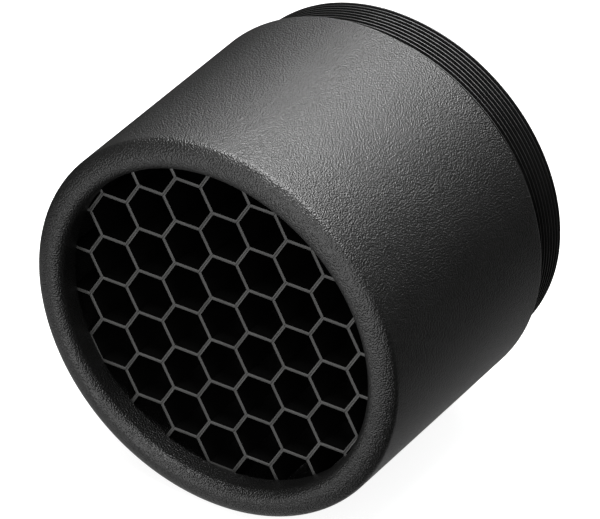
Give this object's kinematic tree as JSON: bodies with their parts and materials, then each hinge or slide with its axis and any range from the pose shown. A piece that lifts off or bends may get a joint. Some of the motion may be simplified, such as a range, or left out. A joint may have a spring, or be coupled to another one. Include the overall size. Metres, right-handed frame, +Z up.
{
  "type": "honeycomb snoot",
  "caption": "Round black snoot: a metal barrel with a honeycomb grid behind its rolled front lip and a threaded collar that screws into the front of a spotlight.",
  "frame": {"origin": "on the barrel's axis, in the plane of the barrel's rear face, where it seats against the lamp and the collar's thread begins", "axes": "+Y along the barrel's axis towards the lamp, so the mouth faces -Y; +Z up and +X to the right as seen from the front"},
  "size_m": [0.0804, 0.065, 0.0804],
  "materials": {
    "barrel_coat": "fine-textured black powder coat over aluminium",
    "collar_anodised": "smooth satin black anodised aluminium",
    "ring_anodised": "smooth satin black anodised aluminium",
    "grid_coat": "matt black painted aluminium"
  },
  "bodies": {
    "barrel_body": {"barrel": "barrel_coat", "threaded_collar": "collar_anodised"},
    "grid": {"grid_ribbon_01": "grid_coat", "grid_ribbon_02": "grid_coat", "grid_ribbon_03": "grid_coat", "grid_ribbon_04": "grid_coat", "grid_ribbon_05": "grid_coat", "grid_ribbon_06": "grid_coat", "grid_ribbon_07": "grid_coat", "grid_ribbon_08": "grid_coat", "grid_ribbon_09": "grid_coat", "grid_ribbon_10": "grid_coat", "grid_ribbon_11": "grid_coat", "grid_ribbon_12": "grid_coat", "grid_ribbon_13": "grid_coat", "grid_ribbon_14": "grid_coat", "grid_ribbon_15": "grid_coat", "grid_ribbon_16": "grid_coat"},
    "ring": {"retaining_ring": "ring_anodised"}
  },
  "joints": [
    {"name": "grid_slide", "type": "slide", "parent": "barrel_body", "child": "grid", "axis": [0, 1, 0], "range_m": [0, 0.006]},
    {"name": "ring_turn", "type": "hinge", "parent": "grid", "child": "ring", "pos_m": [0, -0.0307, 0], "axis": [0, 1, 0], "range_deg": [0, 2160]}
  ],
  "couplings": [
    {"joint": "grid_slide", "follows": "ring_turn", "m_per_rad": 0.00015915}
  ]
}
